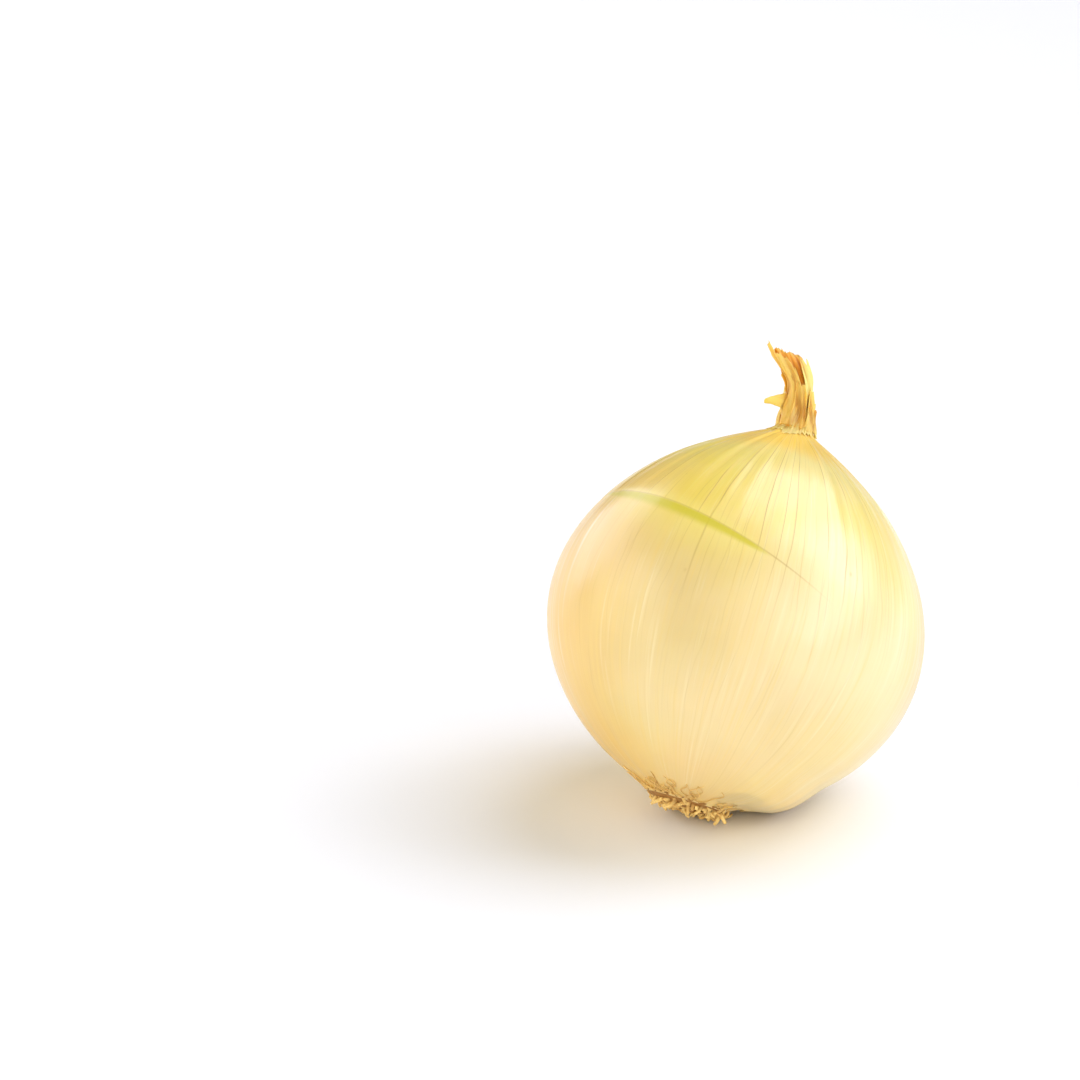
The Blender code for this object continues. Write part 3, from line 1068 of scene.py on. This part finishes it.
def grow_strand(bm, layers, points, radii, sides, dice, foot=0.0):
    """A closed, tapered root along a row of points, from its foot to its tip."""
    reach_layer, dice_layer = layers
    direction = points[1] - points[0]
    turn = direction.to_track_quat("Z", "Y").to_matrix().to_4x4()
    ring = bmesh.ops.create_circle(
        bm,
        cap_ends=True,
        segments=sides,
        radius=radii[0],
        matrix=Matrix.Translation(points[0]) @ turn,
    )["verts"]
    face = ring[0].link_faces[0]
    for vertex in ring:
        vertex[reach_layer] = foot
        vertex[dice_layer] = dice
    last = len(points) - 1
    for i in range(1, last + 1):
        grown = bmesh.ops.extrude_face_region(bm, geom=[face])["geom"]
        face = next(part for part in grown if isinstance(part, bmesh.types.BMFace))
        ahead = points[min(i + 1, last)] - points[i - 1]
        swing = direction.rotation_difference(ahead).to_matrix().to_4x4()
        size = radii[i] / radii[i - 1]
        change = Matrix.Translation(points[i]) @ swing @ Matrix.Scale(size, 4)
        change = change @ Matrix.Translation(-points[i - 1])
        bmesh.ops.transform(bm, matrix=change, verts=face.verts)
        for vertex in face.verts:
            vertex[reach_layer] = foot + (1 - foot) * i / last
            vertex[dice_layer] = dice
        direction = ahead


def root_path(dice, share, angle, length, count):
    """Points of one curly trimmed root, in the onion's own frame."""
    splay = math.radians(48) * share**1.6 + math.radians(dice.uniform(-18, 18))
    heading = angle + math.radians(dice.uniform(-40, 40))
    outwards = Vector((math.cos(heading), math.sin(heading), 0))
    along = outwards * math.sin(splay) - Vector((0, 0, math.cos(splay)))
    point = Vector((math.cos(angle), math.sin(angle), 0)) * share * ROOT_REACH
    point.x += 0.6 * MM
    point.z = 0.4 * MM * (1 - share)
    axis = along.orthogonal().normalized()
    axis.rotate(Matrix.Rotation(dice.uniform(0, 2 * math.pi), 3, along))
    curl = math.radians(dice.uniform(18, 58))
    path = []
    for _ in range(count):
        path.append(point.copy())
        point = point + along * length / (count - 1)
        along.rotate(Matrix.Rotation(curl, 3, axis))
        axis.rotate(Matrix.Rotation(math.radians(dice.uniform(-30, 30)), 3, along))
    return path


def grow_hair(bm, layers, dice, angle, diameter):
    """A thin root that lies on the skin beside the tuft."""
    count = HAIR_POINTS
    length = dice.uniform(1.2, 3.6) * MM
    bow = dice.uniform(-0.35, 0.35)
    phase = dice.uniform(0, 2 * math.pi)
    width = dice.uniform(0.1, 0.2) * MM
    path = []
    for k in range(count):
        share = k / (count - 1)
        height = 0.3 * MM + length * share**1.3
        swing = angle + bow * math.sin(2.4 * share) + 0.05 * math.sin(9 * share + phase)
        radius = bulb_radius(height, diameter)
        lift = 0.2 * MM + 0.45 * MM * math.sin(3 * share + phase) ** 2
        path.append(lay_down(skin_point(swing, height, radius, lift), clearance=width))
    radii = [width * (1 - 0.5 * k / count) for k in range(count)]
    grow_strand(bm, layers, path, radii, HAIR_SIDES, dice.random(), foot=0.45)


def build_roots(sizes, colours):
    dice = random.Random(11)
    bm = bmesh.new()
    layers = bm.verts.layers.float.new("reach"), bm.verts.layers.float.new("dice")
    count = ROOT_POINTS
    for i in range(ROOT_COUNT):
        share = math.sqrt((i + 0.5) / ROOT_COUNT)
        length = sizes.root_length * dice.uniform(0.7, 1.3)
        width = sizes.root_thickness / 2 * dice.uniform(0.75, 1.15)
        path = root_path(dice, share, i * GOLDEN_TURN, length, count)
        path = [lay_down(point, clearance=width) for point in path]
        radii = [width * (1 - 0.28 * k / (count - 1)) for k in range(count)]
        grow_strand(bm, layers, path, radii, ROOT_SIDES, dice.random())
    for _ in range(ROOT_HAIRS):
        grow_hair(bm, layers, dice, dice.gauss(*HAIR_SPREAD), sizes.diameter)
    material = root_material(colours)
    new_piece(bm, "root_strands", node="root_tuft", material=material)


# Radius and height of the root plate's dome, in mm, from its middle round to its back.
PLATE_OUTLINE = (
    (0.0, -2.0),
    (3.0, -1.9),
    (6.0, -1.5),
    (8.4, -0.8),
    (9.8, -0.1),
    (10.3, 0.5),
    (9.6, 0.9),
    (0.0, 1.1),
)
PLATE_STEPS = 72
PLATE_BUMPS = 0.45 * MM


def build_root_plate():
    """The rough dome that the roots stand on."""
    bm = bmesh.new()
    outline = [(radius * MM, height * MM) for radius, height in PLATE_OUTLINE]
    spin_outline(bm, outline, PLATE_STEPS)
    reach = bm.verts.layers.float.new("reach")
    dice = bm.verts.layers.float.new("dice")
    bmesh.ops.subdivide_edges(bm, edges=bm.edges, cuts=2, use_grid_fill=True)
    for vertex in bm.verts:
        vertex.co.z += PLATE_BUMPS * noise.noise(vertex.co * 900)
        # The plate wears the dark foot colour, partly painted shade under the roots.
        vertex[reach] = 0.1
        vertex[dice] = 0.5
        vertex.co = lay_down(vertex.co)
    new_piece(bm, "root_plate", material=bpy.data.materials["dry_roots"])


# ---------------------------------------------------------------- the stage

CAMERA_ELEVATION = math.radians(21)
CAMERA_DISTANCE = 1.0
CAMERA_LENS = 139.7  # mm, on a 36 mm sensor
AIM_RIGHT = -46.7 * MM  # the camera aims left of the onion, which so stands right of the middle
AIM_UP = 19.3 * MM
FLOOR_REACH = 6.0

AMBIENT = 0.09  # strength of the even light from all round
AMBIENT_TONE = (1.0, 0.92, 0.8)
BACKDROP = 1.05  # strength of the white that is seen behind the floor
KEY_TONE = (1.0, 1.05, 1.24)
FILL_TONE = (1.0, 0.945, 0.74)
AREA_RUN = (0.32, 1.04, 0.41)  # the way that an area light's long side runs
LIGHTS_AIM = Vector((0, 0, 45 * MM))

# Name, kind, which way it stands from the onion, energy, tone, and then the angle of a sun
# or the two sides of an area light.
STUDIO_LIGHTS = (
    ("key", "SUN", (0.77, 0.14, 0.62), 0.62, KEY_TONE, math.radians(36)),
    ("key_high", "SUN", (0.45, 0.35, 0.82), 1.55, KEY_TONE, math.radians(50)),
    ("strip", "AREA", (0.74, -0.42, 0.42), 3.4, KEY_TONE, (0.45, 1.1)),
    ("rim", "AREA", (-0.70, 0.63, 0.35), 3.4, KEY_TONE, (0.7, 0.7)),
    ("fill_front", "SUN", (0.1, -0.9, 0.42), 1.2, FILL_TONE, math.radians(60)),
    ("fill_left", "SUN", (-0.95, -0.2, 0.25), 1.75, FILL_TONE, math.radians(60)),
)


def build_floor():
    bm = bmesh.new()
    bmesh.ops.create_grid(bm, x_segments=8, y_segments=8, size=FLOOR_REACH)
    floor = new_surface(bm, "floor", table_material())


def build_camera():
    low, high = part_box("bulb")
    back = Vector((0, -math.cos(CAMERA_ELEVATION), math.sin(CAMERA_ELEVATION)))
    up = Vector((0, math.sin(CAMERA_ELEVATION), math.cos(CAMERA_ELEVATION)))
    aim = (low + high) / 2 + Vector((AIM_RIGHT, 0, 0)) + up * AIM_UP
    data = bpy.data.cameras.new("camera")
    data.lens = CAMERA_LENS
    data.clip_end = 50
    camera = new_object("camera", data)
    camera.location = aim + back * CAMERA_DISTANCE
    camera.rotation_euler = (-back).to_track_quat("-Z", "Y").to_euler()
    bpy.context.scene.camera = camera


def build_light(name, kind, stands, energy, tone, spread):
    """A light that stands off in a direction from the onion and shines back at it."""
    data = bpy.data.lights.new(name, kind)
    data.energy = energy
    data.color = tone
    away = Vector(stands).normalized()
    turn = away.to_track_quat("Z", "Y")
    if kind == "SUN":
        data.angle = spread
    else:
        data.shape = "RECTANGLE"
        data.size, data.size_y = spread
        run = Vector(AREA_RUN)
        run = (run - away * run.dot(away)).normalized()
        turn = Matrix((run.cross(away), run, away)).transposed().to_quaternion()
    light = new_object(name, data)
    light.location = away + LIGHTS_AIM
    light.rotation_euler = turn.to_euler()
    light.visible_camera = False


def build_world():
    """Even light from all round, in front of a white that only a viewer sees."""
    world = bpy.data.worlds.new("studio")
    world.use_nodes = True
    tree = world.node_tree
    seen = node(tree, "LightPath").outputs["Is Camera Ray"]
    finish = {
        "Color": paint(tree, opaque(AMBIENT_TONE), seen, (1, 1, 1)),
        "Strength": ease(tree, seen, 0.0, 1.0, AMBIENT, BACKDROP),
    }
    join_all(tree, finish, tree.nodes["Background"].inputs)
    bpy.context.scene.world = world


def build_stage():
    build_floor()
    build_camera()
    build_world()
    for light in STUDIO_LIGHTS:
        build_light(*light)
    bpy.context.scene.view_settings.view_transform = "Standard"


# ---------------------------------------------------------------- operators and panel


class ONION_OT_bulb(bpy.types.Operator):
    """Builds the bulb in its skin, and the loose skin under it"""

    bl_idname = "onion.bulb"
    bl_label = "Bulb"

    def execute(self, context):
        build_bulb(context.scene.onion_sizes, context.scene.onion_colours)
        build_loose_skin(context.scene.onion_sizes)
        return {"FINISHED"}


class ONION_OT_neck(bpy.types.Operator):
    """Builds the dry neck: its twisted core, the sheaths round it and the skirt at its foot"""

    bl_idname = "onion.neck"
    bl_label = "Neck"

    def execute(self, context):
        material = neck_material(context.scene.onion_colours)
        build_neck_core(material)
        build_neck_sheaths(material)
        build_neck_skirt(context.scene.onion_sizes, material)
        return {"FINISHED"}


class ONION_OT_roots(bpy.types.Operator):
    """Builds the trimmed roots and the plate under them"""

    bl_idname = "onion.roots"
    bl_label = "Roots"

    def execute(self, context):
        build_roots(context.scene.onion_sizes, context.scene.onion_colours)
        build_root_plate()
        return {"FINISHED"}


class ONION_OT_stage(bpy.types.Operator):
    """Builds the floor, the lights and the camera"""

    bl_idname = "onion.stage"
    bl_label = "Stage"

    def execute(self, context):
        build_stage()
        return {"FINISHED"}


class ONION_PT_panel(bpy.types.Panel):
    """Lists the onion's sizes, colours and pieces"""

    bl_idname = "ONION_PT_panel"
    bl_label = "White Onion"
    bl_space_type = "VIEW_3D"
    bl_region_type = "UI"
    bl_category = "Onion"

    def draw(self, context):
        for group in (context.scene.onion_sizes, context.scene.onion_colours):
            box = self.layout.box()
            for name in type(group).__annotations__:
                box.prop(group, name)
        for operator in OPERATORS:
            self.layout.operator(operator.bl_idname)


OPERATORS = (ONION_OT_stage, ONION_OT_bulb, ONION_OT_neck, ONION_OT_roots)
CLASSES = (OnionSizes, OnionColours, *OPERATORS, ONION_PT_panel)


def register():
    for cls in CLASSES:
        bpy.utils.register_class(cls)
    bpy.types.Scene.onion_sizes = PointerProperty(type=OnionSizes)
    bpy.types.Scene.onion_colours = PointerProperty(type=OnionColours)


def unregister():
    del bpy.types.Scene.onion_colours
    del bpy.types.Scene.onion_sizes
    for cls in reversed(CLASSES):
        bpy.utils.unregister_class(cls)


def main():
    register()
    bpy.ops.onion.stage()
    bpy.ops.onion.bulb()
    bpy.ops.onion.neck()
    bpy.ops.onion.roots()


if __name__ == "__main__":
    main()
